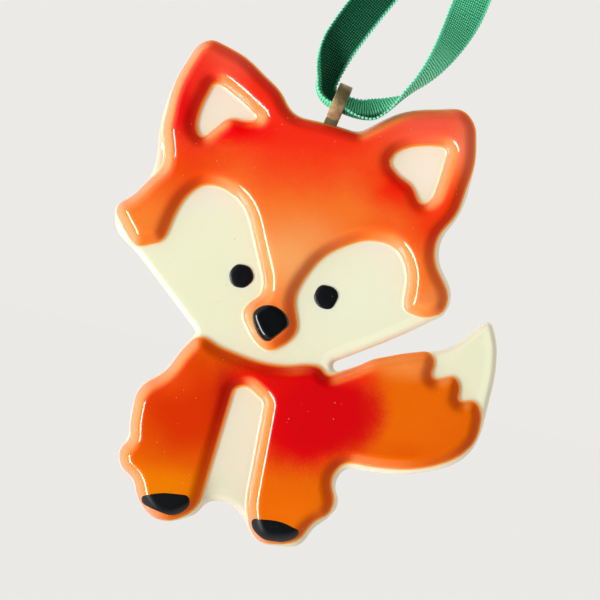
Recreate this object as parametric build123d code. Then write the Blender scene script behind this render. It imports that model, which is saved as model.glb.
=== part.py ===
from build123d import *
import math
import os

# Fox figure of fused glass, hung from a ribbon.
# A cream sheet carries red and orange sheets, with black glass eyes, nose and toes.
# A bent metal strip is fused between the layers and makes the ring that the ribbon runs through.
# Millimetres. Z is up, the fox faces -Y, and the origin is the hanging point under the ribbon's knot.

os.makedirs("parts", exist_ok=True)

# Overall sizes of the glass figure
FIGURE_WIDTH = 78.0
FIGURE_HEIGHT = 90.5

# The outlines are points of one drawing in pixels, in which the fox leans to its left.
DRAWING_WIDTH_PIXELS = 418
DRAWING_HEIGHT_PIXELS = 485
RING_CENTRE_PIXELS = (340, 99)
DRAWING_LEAN = 13.5

# Sheets
BASE_THICKNESS = 3.0
OVERLAY_THICKNESS = 3.0
BASE_FRONT_RADIUS = 0.7
BASE_BACK_CHAMFER = 0.3
RIM_RADIUS = 1.4

# Plan corners that stay tighter than their sides would allow
NOTCH_RADIUS = 0.8
SLOT_RADIUS = 1.2
GAP_RADIUS = 0.9
CHEEK_RADIUS = 1.6

# Black inlays
LEFT_EYE_PIXELS = (240, 277)
RIGHT_EYE_PIXELS = (325, 298)
EYE_RADIUS = 2.2
EYE_DEPTH = 1.0
EYE_PROUD = 0.7
EYE_CROWN_RADIUS = 0.6
NOSE_DEPTH = 1.0
NOSE_PROUD = 0.4
NOSE_CROWN_RADIUS = 0.35
TOE_DEPTH = 0.6
TOE_PROUD = 0.2
TOE_CROWN_RADIUS = 0.18
INLAY_CLEARANCE = 0.05

# Metal strip and its ring
STRIP_WIDTH = 2.5
STRIP_THICKNESS = 0.3
RING_INNER_RADIUS = 2.65
RING_LEAN = 9.5
NECK_DROP = 3.9
NECK_RADIUS = 1.0
LEG_GAP = 0.1
LEG_DEPTH = 8.0
STRIP_CLEARANCE = 0.1

# Ribbon
RIBBON_WIDTH = 7.0
RIBBON_THICKNESS = 0.2
RIBBON_CLEARANCE = 0.25
RING_HOLD = 0.3
RING_DROP = 79.0

# Knot and the two tails above it
KNOT_WIDTH = 9.0
KNOT_HEIGHT = 7.0
KNOT_DEPTH = 5.0
FOOT_SHARE = 0.84
CROWN_SHARE = 0.62
ROUND_SHARE = 0.42
WRAP_WIDTH = 4.6
WRAP_PROUD = 0.5
WRAP_SLANT = 24.0
TAIL_LENGTH = 17.0
TAIL_SPREAD = 17.0
TAIL_CUT_SLANT = 35.0
TAIL_GAP = 0.4
TAIL_SUNK = 2.0

# Cuts run this much past the faces that they open
OVERRUN = 2.0


# Helpers

def on_figure(point):
    """Point of the drawing, turned upright and scaled, as x and z."""
    across = point[0] - RING_CENTRE_PIXELS[0]
    up = RING_CENTRE_PIXELS[1] - point[1]
    lean = math.radians(DRAWING_LEAN)
    x = across * math.cos(lean) - up * math.sin(lean)
    z = across * math.sin(lean) + up * math.cos(lean)
    x_scale = FIGURE_WIDTH / DRAWING_WIDTH_PIXELS
    z_scale = FIGURE_HEIGHT / DRAWING_HEIGHT_PIXELS
    return x * x_scale, z * z_scale - RING_DROP


def corner_radii(corners, limits, reach_share=0.46):
    """Largest arc that the two sides of each corner allow, or its own smaller limit."""
    radii = []
    count = len(corners)
    for i in range(count):
        before = corners[i] - corners[i - 1]
        after = corners[(i + 1) % count] - corners[i]
        turn = math.radians(before.get_angle(after))
        run = min(before.length, after.length)
        radius = reach_share * run / math.tan(turn / 2)
        if limits[i] is not None:
            radius = min(radius, limits[i])
        radii.append(radius)
    return radii


def front_rim(solid):
    return solid.faces().sort_by(Axis.Y)[0].edges()


def back_rim(solid):
    return solid.faces().sort_by(Axis.Y)[-1].edges()


def rounded_corners(pixels):
    """Corners of an outline and the radius of each; a point's third value limits its own."""
    corners = [Vector(*on_figure(point)) for point in pixels]
    limits = [point[2] if len(point) > 2 else None for point in pixels]
    return corners, corner_radii(corners, limits)


def outline(pixels):
    """Closed face of straight sides and tangent arcs."""
    corners, radii = rounded_corners(pixels)
    return make_face(FilletPolyline(*corners, radius=radii, close=True))


def tightest_tip(pixels):
    """Smallest radius of the corners that point outwards, which is all that a rim can take."""
    corners, radii = rounded_corners(pixels)
    turns = []
    for i in range(len(corners)):
        before = corners[i] - corners[i - 1]
        after = corners[(i + 1) % len(corners)] - corners[i]
        turns.append(before.cross(after).Z)
    way = math.copysign(1, sum(corners[i - 1].cross(corners[i]).Z for i in range(len(corners))))
    return min(radius for radius, turn in zip(radii, turns) if turn * way > 0)


def rounded_rim(solid, pixels, radius):
    """Front edge rounded by this radius, or by its tightest tip's where that is smaller."""
    return fillet(front_rim(solid), min(radius, tightest_tip(pixels)))


def slab(face, front, back):
    """Plate of a drawn face between two depths along Y."""
    upright = Plane.XZ.offset(-back) * face
    return extrude(upright, amount=back - front)


def save(shape, name, colour):
    shape.label = name
    shape.color = Color(*colour)
    export_step(shape, f"parts/{name}.step")
    print(name, "solids", len(shape.solids()), "volume", round(shape.volume, 1))


# Metal strip bent into a ring
# One flat strip, its two ends laid together and fused between the glass layers.

def ring_place():
    """Middle of the ring; the strip leans to the fox's left from there."""
    return Pos(0, 0, -RING_DROP) * Rot(0, RING_LEAN, 0)


def strip_path():
    bend = RING_INNER_RADIUS + STRIP_THICKNESS / 2
    leg = (LEG_GAP + STRIP_THICKNESS) / 2
    foot = NECK_DROP + LEG_DEPTH
    neck_reach = math.hypot(leg, NECK_DROP)
    swing = math.acos(bend / neck_reach) + math.atan2(leg, NECK_DROP)
    touch_y = bend * math.sin(swing)
    touch_z = -bend * math.cos(swing)
    front_leg = FilletPolyline(
        (0, -leg, -foot), (0, -leg, -NECK_DROP), (0, -touch_y, touch_z), radius=NECK_RADIUS
    )
    crown = ThreePointArc((0, -touch_y, touch_z), (0, 0, bend), (0, touch_y, touch_z))
    back_leg = FilletPolyline(
        (0, touch_y, touch_z), (0, leg, -NECK_DROP), (0, leg, -foot), radius=NECK_RADIUS
    )
    return Wire(front_leg.edges() + crown.edges() + back_leg.edges())


def make_hanging_loop():
    path = strip_path()
    section = Plane(origin=path @ 0, x_dir=(1, 0, 0), z_dir=path % 0) * Rectangle(STRIP_WIDTH, STRIP_THICKNESS)
    return ring_place() * sweep(section, path=path)


def strip_pocket():
    """Room for the two legs, tight on their flat faces and clear at their edges."""
    width = STRIP_WIDTH + 2 * STRIP_CLEARANCE
    depth = 2 * STRIP_THICKNESS + LEG_GAP
    height = LEG_DEPTH + NECK_DROP
    block = Pos(0, 0, -height / 2 - STRIP_CLEARANCE) * Box(width, depth, height)
    return ring_place() * block


# Cream base
# One sheet under everything; it shows as a thin edge and as the ears, cheeks, jaw, chest and tail tip.

BASE_PIXELS = [
    (197, 42), (210, 37), (251, 59), (272, 84), (289, 115), (339, 127),
    (358, 132), (386, 117), (437, 108), (466, 109), (478, 123), (478, 168), (466, 201),
    (441, 239), (438, 262), (453, 293), (447, 315), (392, 341),
    (331, 364, GAP_RADIUS), (334, 374, GAP_RADIUS), (401, 354), (448, 352), (476, 331),
    (491, 319), (498, 345), (496, 376), (480, 440), (452, 469), (408, 476),
    (344, 467), (332, 485), (339, 506), (326, 521), (309, 531), (296, 549), (257, 549),
    (243, 520), (229, 503), (206, 502), (196, 517), (171, 526), (144, 516), (131, 499),
    (130, 482), (115, 468), (113, 452), (124, 440), (129, 402), (136, 382), (166, 365),
    (195, 333, NOTCH_RADIUS), (134, 252), (113, 232), (109, 203), (127, 197), (155, 168),
    (156, 130), (168, 86),
]


def make_base():
    base = slab(outline(BASE_PIXELS), 0, BASE_THICKNESS)
    base = rounded_rim(base, BASE_PIXELS, BASE_FRONT_RADIUS)
    base = chamfer(back_rim(base), BASE_BACK_CHAMFER)
    for centre in (LEFT_EYE_PIXELS, RIGHT_EYE_PIXELS):
        base -= eye_blank(centre, EYE_RADIUS + INLAY_CLEARANCE)
    return base - strip_pocket()


# Eyes
# Round pieces of black glass, sunk into the cream sheet, with a low rounded crown.

def eye_blank(centre, radius):
    x, z = on_figure(centre)
    height = EYE_DEPTH + EYE_PROUD
    return Pos(x, EYE_DEPTH - height / 2, z) * Rot(90, 0, 0) * Cylinder(radius, height)


def make_eye(centre):
    eye = eye_blank(centre, EYE_RADIUS)
    return fillet(front_rim(eye), EYE_CROWN_RADIUS)


# Head overlay
# One sheet makes both ears, the forehead, the bridge down to the nose and the two cheeks.

HEAD_PIXELS = [
    (198, 45), (210, 40), (249, 61), (269, 85), (287, 117), (358, 135, NOTCH_RADIUS),
    (387, 120), (437, 111), (463, 112), (474, 126), (473, 167), (462, 199),
    (436, 239), (433, 262), (449, 296), (444, 314), (424, 320), (402, 311, CHEEK_RADIUS),
    (408, 272), (395, 245), (365, 240), (341, 249), (320, 263), (302, 283),
    (293, 300), (298, 331), (288, 344), (268, 354), (253, 342), (240, 315), (249, 303), (261, 297),
    (263, 281), (248, 216), (238, 199), (220, 188), (203, 187), (186, 199),
    (174, 216), (161, 246), (138, 248), (124, 233), (113, 208), (130, 200), (164, 168),
    (164, 149), (161, 130), (172, 89),
]
LEFT_EAR_PIXELS = [
    (210, 82), (218, 80), (265, 121), (244, 122), (228, 117), (200, 140), (194, 128), (198, 108),
]
RIGHT_EAR_PIXELS = [
    (388, 164), (394, 153), (410, 145), (432, 144), (452, 146), (433, 202), (420, 207),
    (412, 185), (400, 178),
]
NOSE_PIXELS = [
    (262, 306), (252, 313), (251, 321), (256, 336), (266, 345), (290, 326), (285, 315), (274, 307),
]


def nose_blank(grow, front, back):
    face = offset(outline(NOSE_PIXELS), amount=grow) if grow else outline(NOSE_PIXELS)
    return slab(face, front, back)


def make_head():
    head = slab(outline(HEAD_PIXELS), -OVERLAY_THICKNESS, 0)
    for window in (LEFT_EAR_PIXELS, RIGHT_EAR_PIXELS):
        head -= slab(outline(window), -OVERLAY_THICKNESS - OVERRUN, OVERRUN)
    head = rounded_rim(head, HEAD_PIXELS, RIM_RADIUS)
    floor = NOSE_DEPTH - OVERLAY_THICKNESS
    head -= nose_blank(INLAY_CLEARANCE, -OVERLAY_THICKNESS - OVERRUN, floor)
    return head - strip_pocket()


def make_nose():
    floor = NOSE_DEPTH - OVERLAY_THICKNESS
    nose = nose_blank(0, -OVERLAY_THICKNESS - NOSE_PROUD, floor)
    return rounded_rim(nose, NOSE_PIXELS, NOSE_CROWN_RADIUS)


# Body overlay
# One sheet from the shoulder to both feet and along the tail, with a slot for the cream chest.

BODY_PIXELS = [
    (197, 336), (214, 346), (265, 367), (320, 367), (326, 378),
    (391, 356), (428, 352), (436, 362), (427, 383), (455, 376), (461, 389), (455, 405),
    (475, 400), (482, 416), (476, 440), (453, 460), (432, 468), (409, 470),
    (343, 461), (328, 480), (334, 502), (328, 516), (311, 523), (290, 546), (262, 543),
    (248, 527), (245, 504), (264, 403, SLOT_RADIUS), (246, 386), (233, 390, SLOT_RADIUS),
    (199, 504), (190, 514), (172, 521), (149, 515), (136, 498), (134, 480),
    (119, 467), (118, 450), (130, 440), (129, 426), (136, 387), (164, 371), (180, 351),
]
LEFT_TOE_PIXELS = [
    (141, 496), (161, 492), (189, 495), (190, 505), (182, 513), (171, 516), (141, 504),
]
RIGHT_TOE_PIXELS = [
    (250, 518), (279, 520), (300, 531), (294, 539), (282, 543), (262, 540), (251, 529),
]


def toe_blank(pixels, grow, front):
    face = offset(outline(pixels), amount=grow) if grow else outline(pixels)
    return slab(face, front, TOE_DEPTH - OVERLAY_THICKNESS)


def make_body():
    body = slab(outline(BODY_PIXELS), -OVERLAY_THICKNESS, 0)
    body = rounded_rim(body, BODY_PIXELS, RIM_RADIUS)
    for toes in (LEFT_TOE_PIXELS, RIGHT_TOE_PIXELS):
        body -= toe_blank(toes, INLAY_CLEARANCE, -OVERLAY_THICKNESS - OVERRUN)
    return body


def make_toes(pixels):
    toes = toe_blank(pixels, 0, -OVERLAY_THICKNESS - TOE_PROUD)
    return rounded_rim(toes, pixels, TOE_CROWN_RADIUS)


# Ribbon
# One flat satin band: down from the knot, curled through the ring, and up again with half a turn.

RIBBON_ROUTE = [
    (-0.5, -0.35, 3.0), (-1.2, -0.35, -13.0), (2.6, 0.0, -26.5), (5.0, 0.0, -39.5),
    (4.9, 0.0, -52.5), (-0.7, 0.3, -63.6), (-4.3, 1.0, -72.5), (-4.7, 1.4, -80.05),
    (4.4, 1.4, -81.57), (9.3, 0.7, -78.8), (14.5, 0.0, -72.2), (18.0, 0.0, -64.0),
    (20.3, 0.0, -53.0), (19.5, 0.0, -41.0), (15.9, 0.0, -27.5), (9.6, 0.35, -14.0), (-1.5, 0.35, 2.7),
]
# From the middle of one run to the next: turn about the run in degrees, and radius of the curl in
# shares of the ring's own.
RIBBON_TURNS = [-90, -90, -90, -90, -86, -76, -52, -38, -28, 0, 28, 62, 84, 90, 90, 90]
RIBBON_CURL_SHARES = [20, 20, 20, 14, 7, 3.2, 1.5, 1, 1.6, 3.5, 7, 11, 16, 20, 20, 20]
STEPS_PER_RUN = 3


def ribbon_route():
    points = [Vector(*point) for point in RIBBON_ROUTE]
    radii = []
    for i in range(1, len(points) - 1):
        before = points[i] - points[i - 1]
        after = points[i + 1] - points[i]
        turn = math.radians(before.get_angle(after))
        radii.append(0.45 * min(before.length, after.length) / math.tan(turn / 2))
    print("ribbon radii", [round(radius, 1) for radius in radii])
    return points, FilletPolyline(*points, radius=radii)


def ring_curl():
    """Radius at the middle of the ribbon's thickness where it curls inside the ring."""
    return RING_INNER_RADIUS - RIBBON_CLEARANCE - RIBBON_THICKNESS / 2


def band_section(spot, along, turn, curl):
    """Thin arc across the ribbon, square to its run, opening towards its inner side."""
    depth = Vector(0, 1, 0)
    inward = along.cross(depth).normalized()
    level = inward.cross(along).normalized()
    angle = math.radians(turn)
    inner = inward * math.cos(angle) + level * math.sin(angle)
    across = inner.cross(along)
    half = RIBBON_WIDTH / curl / 2
    outside = curl + RIBBON_THICKNESS / 2
    inside = curl - RIBBON_THICKNESS / 2

    def at(radius, swing):
        return spot + inner * (curl - radius * math.cos(swing)) + across * (radius * math.sin(swing))

    return Wire([
        Edge.make_three_point_arc(at(outside, -half), at(outside, 0), at(outside, half)),
        Edge.make_line(at(outside, half), at(inside, half)),
        Edge.make_three_point_arc(at(inside, half), at(inside, 0), at(inside, -half)),
        Edge.make_line(at(inside, -half), at(outside, -half)),
    ])


def ribbon_marks(points, path):
    """Place, turn and curl along the band; both hold steady where it lies inside the ring."""
    marks = []
    for i in range(len(points) - 1):
        place = path.param_at_point((points[i] + points[i + 1]) / 2) * path.length
        marks.append((place, RIBBON_TURNS[i], RIBBON_CURL_SHARES[i] * ring_curl()))
    ring = min(range(len(marks)), key=lambda i: RIBBON_CURL_SHARES[i])
    hold = STRIP_WIDTH / 2 + STRIP_CLEARANCE + RING_HOLD
    place, turn, curl = marks[ring]
    return marks[:ring] + [(place - hold, turn, curl), (place + hold, turn, curl)] + marks[ring + 1:]


def make_ribbon():
    points, route = ribbon_route()
    path = Wire(route.edges())
    marks = ribbon_marks(points, path)
    sections = [(0, *marks[0][1:])]
    for start, end in zip(marks, marks[1:]):
        for step in range(STEPS_PER_RUN):
            part = step / STEPS_PER_RUN
            sections.append([first + (last - first) * part for first, last in zip(start, end)])
    sections += [marks[-1], (path.length, *marks[-1][1:])]
    wires = []
    for place, turn, curl in sections:
        share = place / path.length
        wires.append(band_section(path @ share, path % share, turn, curl))
    band = Solid.make_loft(wires, ruled=True)
    plain = RIBBON_WIDTH * RIBBON_THICKNESS * path.length
    print("ribbon length", round(path.length, 1), "volume share of its section", round(band.volume / plain, 3))
    return split(band, Plane.XY, keep=Keep.BOTTOM)


# Knot and tails
# Both ends of the ribbon tied together, wrapped once on a slant, with two ends left over above.

def knot_pillow(grow):
    levels = [(0, FOOT_SHARE), (KNOT_HEIGHT / 2, 1), (KNOT_HEIGHT, CROWN_SHARE)]
    faces = []
    for height, share in levels:
        width = KNOT_WIDTH * share + 2 * grow
        depth = KNOT_DEPTH * share + 2 * grow
        faces.append(Pos(0, 0, height) * RectangleRounded(width, depth, depth * ROUND_SHARE))
    return loft(faces)


def make_knot():
    slab_size = 2 * (KNOT_WIDTH + KNOT_HEIGHT)
    wrap_band = Pos(0, 0, KNOT_HEIGHT / 2) * Rot(0, WRAP_SLANT, 0) * Box(WRAP_WIDTH, slab_size, slab_size)
    knot = knot_pillow(0) + (knot_pillow(WRAP_PROUD) & wrap_band)
    for side in (-1, 1):
        flat = Pos(0, side * TAIL_GAP / 2, TAIL_LENGTH / 2) * Box(RIBBON_WIDTH, RIBBON_THICKNESS, TAIL_LENGTH)
        cut = Pos(0, 0, TAIL_LENGTH) * Rot(0, side * TAIL_CUT_SLANT, 0)
        flat -= cut * Pos(0, 0, TAIL_LENGTH / 2) * Box(2 * TAIL_LENGTH, KNOT_DEPTH, TAIL_LENGTH)
        knot += Pos(0, 0, KNOT_HEIGHT - TAIL_SUNK) * Rot(0, side * TAIL_SPREAD, 0) * flat
    return knot


save(make_base(), "base_glass", (0.95, 0.94, 0.86))
save(make_eye(LEFT_EYE_PIXELS), "left_eye", (0.05, 0.05, 0.06))
save(make_eye(RIGHT_EYE_PIXELS), "right_eye", (0.05, 0.05, 0.06))
save(make_head(), "head_overlay", (0.95, 0.3, 0.1))
save(make_nose(), "nose", (0.05, 0.05, 0.06))
save(make_body(), "body_overlay", (0.85, 0.15, 0.05))
save(make_toes(LEFT_TOE_PIXELS), "left_toes", (0.05, 0.05, 0.06))
save(make_toes(RIGHT_TOE_PIXELS), "right_toes", (0.05, 0.05, 0.06))
save(make_hanging_loop(), "hanging_loop", (0.5, 0.45, 0.38))
save(make_ribbon(), "ribbon", (0.0, 0.5, 0.35))
save(make_knot(), "ribbon_knot", (0.0, 0.5, 0.35))
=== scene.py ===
import math
import bmesh
import bpy
import numpy as np
from mathutils import Matrix, Vector
from mathutils.geometry import delaunay_2d_cdt
from mathutils.kdtree import KDTree


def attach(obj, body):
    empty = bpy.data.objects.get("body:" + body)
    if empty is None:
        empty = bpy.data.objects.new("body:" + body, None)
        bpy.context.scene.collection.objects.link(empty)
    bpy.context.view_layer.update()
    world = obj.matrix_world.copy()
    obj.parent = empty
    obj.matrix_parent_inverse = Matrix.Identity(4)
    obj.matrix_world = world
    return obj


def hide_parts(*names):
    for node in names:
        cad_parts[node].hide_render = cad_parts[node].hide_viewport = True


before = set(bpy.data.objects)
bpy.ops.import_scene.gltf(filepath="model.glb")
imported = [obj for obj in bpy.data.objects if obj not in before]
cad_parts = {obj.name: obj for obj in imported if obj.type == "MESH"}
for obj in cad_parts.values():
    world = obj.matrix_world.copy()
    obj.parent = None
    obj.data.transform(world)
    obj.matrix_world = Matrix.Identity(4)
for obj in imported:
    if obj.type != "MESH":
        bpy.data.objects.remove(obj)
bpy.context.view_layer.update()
MM = 0.001


# Camera
# The figure leans to its left in the view, seen from a little below and close to square on.

RING_CENTRE = Vector((0, 0, -79 * MM))
LEAN = math.radians(13.5)
look_at = Vector((1.35 * MM, -1.5 * MM, -117.5 * MM))
camera_tilt = math.radians(-2)
camera_reach = 300 * MM
camera_back = Vector((0, -math.cos(camera_tilt), math.sin(camera_tilt)))
camera_data = bpy.data.cameras.new("camera")
camera_data.lens = 96.6
camera_data.sensor_width = 36
camera = bpy.data.objects.new("camera", camera_data)
bpy.context.scene.collection.objects.link(camera)
camera.rotation_mode = "QUATERNION"
camera.location = look_at + camera_back * camera_reach
camera.rotation_quaternion = (-camera_back).to_track_quat("-Z", "Y") @ Matrix.Rotation(LEAN, 4, "Z").to_quaternion()
bpy.context.scene.camera = camera


# Ribbon
# Green satin ribbon 7 mm wide, run through the metal ring and tied above it.
# Its line is the smooth curve of these points, and it curls across its width where the ring holds it.

RIBBON_WIDTH = 7 * MM
RIBBON_THICKNESS = 0.2 * MM
RIBBON_ROUTE = [
    (-0.5, -0.35, 3.0), (-1.2, -0.35, -13.0), (2.6, 0.0, -26.5), (5.0, 0.0, -39.5),
    (4.9, 0.0, -52.5), (-0.7, 0.3, -63.6), (-4.3, 1.0, -72.5), (-4.7, 1.4, -80.05),
    (4.4, 1.4, -81.57), (9.3, 0.7, -78.8), (14.5, 0.0, -72.2), (18.0, 0.0, -64.0),
    (20.3, 0.0, -53.0), (19.5, 0.0, -41.0), (15.9, 0.0, -27.5), (9.6, 0.35, -14.0), (-1.5, 0.35, 2.7),
]
# From the middle of one run to the next: turn about the run in degrees, and the curl's radius in
# shares of the radius that it has inside the ring.
RIBBON_TURNS = [-90, -90, -90, -90, -88, -78, -38, -38, -46, 0, 30, 66, 86, 90, 90, 90]
RIBBON_CURLS = [20, 20, 20, 14, 7, 3.2, 1.5, 1, 1.6, 3.5, 7, 11, 16, 20, 20, 20]
RING_CURL = 2.3 * MM
STEP_ALONG = 0.3 * MM
STEPS_ACROSS = 22
SELVEDGE_SWELL = 0.09 * MM
STITCH_PITCH = 0.74 * MM
STITCH_LENGTH = 0.62 * MM
STITCH_WIDTH = 0.46 * MM


def new_object(name, mesh):
    made = bpy.data.objects.new(name, mesh)
    bpy.context.scene.collection.objects.link(made)
    return made


def nurbs_line(points, name):
    """Points along the smooth curve that has these control points, in order."""
    data = bpy.data.curves.new(name, "CURVE")
    data.dimensions = "3D"
    spline = data.splines.new("NURBS")
    spline.points.add(len(points) - 1)
    for place, point in zip(spline.points, points):
        place.co = (*[value * MM for value in point], 1)
    spline.order_u = 3
    spline.use_endpoint_u = True
    spline.resolution_u = 24
    holder = new_object(name, data)
    bpy.context.view_layer.update()
    mesh = bpy.data.meshes.new_from_object(holder)
    line = np.array([vertex.co[:] for vertex in mesh.vertices])
    bpy.data.objects.remove(holder)
    bpy.data.meshes.remove(mesh)
    return line


def lengths_along(line):
    return np.concatenate([[0], np.cumsum(np.linalg.norm(np.diff(line, axis=0), axis=1))])


def even_line(line, step):
    """The same open line with points at an even distance."""
    reach = lengths_along(line)
    places = np.linspace(0, reach[-1], max(2, int(round(reach[-1] / step)) + 1))
    return np.column_stack([np.interp(places, reach, line[:, axis]) for axis in range(3)])


def unit(rows):
    return rows / np.linalg.norm(rows, axis=1)[:, None]


def band_mesh(name, line, inner, curls, width, thickness, swell):
    """Closed band along a line: its inner side faces `inner`, and it curls across by `curls`."""
    along = unit(np.gradient(line, axis=0))
    across = unit(np.cross(inner, along))
    inner = unit(np.cross(along, across))
    reach = lengths_along(line)
    count, steps = len(line), STEPS_ACROSS
    verts, normals, uvs = [], [], []
    for side in (1, -1):
        for j in range(steps + 1):
            offset = (j / steps - 0.5) * width
            swing = offset / curls
            edge = np.clip((abs(offset) / width - 0.44) / 0.04, 0, 1)
            half = thickness / 2 + swell * edge * (1 - 0.6 * (j in (0, steps)))
            radius = curls - side * half
            place = line + inner * (curls - radius * np.cos(swing))[:, None]
            place += across * (radius * np.sin(swing))[:, None]
            verts.append(place)
            uvs.append(np.column_stack([np.full(count, offset), reach]))
    verts = np.stack(verts).reshape(2, steps + 1, count, 3)
    flat = verts.reshape(-1, 3)

    def index(side, j, i):
        return (side * (steps + 1) + j) * count + i

    faces, face_uvs = [], []
    for side in (0, 1):
        for j in range(steps):
            for i in range(count - 1):
                ring = [(j, i), (j, i + 1), (j + 1, i + 1), (j + 1, i)]
                if side:
                    ring.reverse()
                faces.append([index(side, a, b) for a, b in ring])
                face_uvs += [((a / steps - 0.5) * width / MM, reach[b] / MM) for a, b in ring]
    for j, turn in ((0, 1), (steps, -1)):
        for i in range(count - 1):
            ring = [(0, i), (1, i), (1, i + 1), (0, i + 1)][::turn]
            faces.append([index(side, j, b) for side, b in ring])
            face_uvs += [((j / steps - 0.5) * width / MM, reach[b] / MM) for side, b in ring]
    for i, turn in ((0, 1), (count - 1, -1)):
        for j in range(steps):
            ring = [(0, j), (0, j + 1), (1, j + 1), (1, j)][::turn]
            faces.append([index(side, a, i) for side, a in ring])
            face_uvs += [((a / steps - 0.5) * width / MM, reach[i] / MM) for side, a in ring]
    mesh = bpy.data.meshes.new(name)
    mesh.from_pydata([tuple(v) for v in flat], [], faces)
    layer = mesh.uv_layers.new(name="weave")
    layer.data.foreach_set("uv", np.array(face_uvs, dtype=np.float32).ravel())
    mesh.update()
    mesh.shade_smooth()
    mesh.set_sharp_from_angle(angle=math.radians(50))
    edges = [verts[0, j] * 0.5 + verts[1, j] * 0.5 for j in (0, steps)]
    return mesh, edges


def linear(hex_colour):
    """A written colour, such as "#FF8800", as linear red, green and blue."""
    parts = [int(hex_colour[i:i + 2], 16) / 255 for i in (1, 3, 5)]
    return tuple(p / 12.92 if p <= 0.04045 else ((p + 0.055) / 1.055) ** 2.4 for p in parts) + (1,)


def add(nodes, kind, inputs=(), **settings):
    """A new node with its settings and plain or linked inputs."""
    node = nodes.new(kind)
    for key, value in settings.items():
        setattr(node, key, value)
    for key, value in dict(inputs).items():
        if isinstance(value, bpy.types.NodeSocket):
            node.id_data.links.new(value, node.inputs[key])
        else:
            node.inputs[key].default_value = value
    return node


def maths(nodes, operation, a, b=0.0, clamp=False):
    node = add(nodes, "ShaderNodeMath", {0: a, 1: b}, operation=operation, use_clamp=clamp)
    return node.outputs[0]


def ramp(nodes, value, low, high, smooth=True):
    """0 at low and 1 at high, eased between."""
    kind = "SMOOTHSTEP" if smooth else "LINEAR"
    node = add(nodes, "ShaderNodeMapRange", {0: value, 1: low, 2: high}, interpolation_type=kind)
    return node.outputs[0]


def blend(nodes, factor, a, b):
    """Colour a where the factor is 0 and b where it is 1."""
    node = add(nodes, "ShaderNodeMix", {0: factor, 6: a, 7: b}, data_type="RGBA")
    return node.outputs[2]


def new_material(name, **plain):
    """A material whose shader has these plain values; returns it, its nodes and the shader."""
    made = bpy.data.materials.new(name)
    made.use_nodes = True
    nodes = made.node_tree.nodes
    shader = nodes["Principled BSDF"]
    for key, value in plain.items():
        shader.inputs[key.replace("_", " ")].default_value = value
    return made, nodes, shader


def new_group(name, inputs, outputs):
    """A shader node group with named inputs (name, kind, default) and outputs (name, kind)."""
    tree = bpy.data.node_groups.new(name, "ShaderNodeTree")
    for label, kind, value in inputs:
        socket = tree.interface.new_socket(label, in_out="INPUT", socket_type=kind)
        if value is not None:
            socket.default_value = value
    for label, kind in outputs:
        tree.interface.new_socket(label, in_out="OUTPUT", socket_type=kind)
    start = tree.nodes.new("NodeGroupInput")
    end = tree.nodes.new("NodeGroupOutput")
    return tree, tree.nodes, start.outputs, end


def satin_group():
    """Weave of the ribbon from its own UV in millimetres: staggered dots, or ribs where it curls."""
    tree, nodes, given, end = new_group(
        "satin weave",
        [("Place", "NodeSocketVector", None), ("Ribs", "NodeSocketFloat", 0.0)],
        [("Thread", "NodeSocketFloat"), ("Selvedge", "NodeSocketFloat")],
    )
    split = add(nodes, "ShaderNodeSeparateXYZ", {0: given["Place"]})
    across, along = split.outputs[0], split.outputs[1]
    drift = add(nodes, "ShaderNodeTexNoise", {"Vector": given["Place"], "Scale": 0.9, "Detail": 2.0})
    shift = maths(nodes, "MULTIPLY", maths(nodes, "SUBTRACT", drift.outputs[0], 0.5), 0.5)
    row = maths(nodes, "MULTIPLY", maths(nodes, "ADD", along, shift), 2 * math.pi / 0.9)
    column = maths(nodes, "MULTIPLY", across, 2 * math.pi / 0.86)
    one = maths(nodes, "COSINE", maths(nodes, "ADD", row, column))
    other = maths(nodes, "COSINE", maths(nodes, "SUBTRACT", row, column))
    dots = ramp(nodes, maths(nodes, "MULTIPLY", one, other), 0.0, 0.5)
    wave = maths(nodes, "SINE", maths(nodes, "MULTIPLY", maths(nodes, "ADD", along, shift), 2 * math.pi / 0.54))
    ribs = ramp(nodes, wave, -0.7, 0.9)
    mixed = add(nodes, "ShaderNodeMix", {0: given["Ribs"], 2: dots, 3: ribs}, data_type="FLOAT")
    hem = ramp(nodes, maths(nodes, "ABSOLUTE", across), 3.02, 3.2)
    links = tree.links
    links.new(mixed.outputs[0], end.inputs["Thread"])
    links.new(hem, end.inputs["Selvedge"])
    return tree


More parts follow.
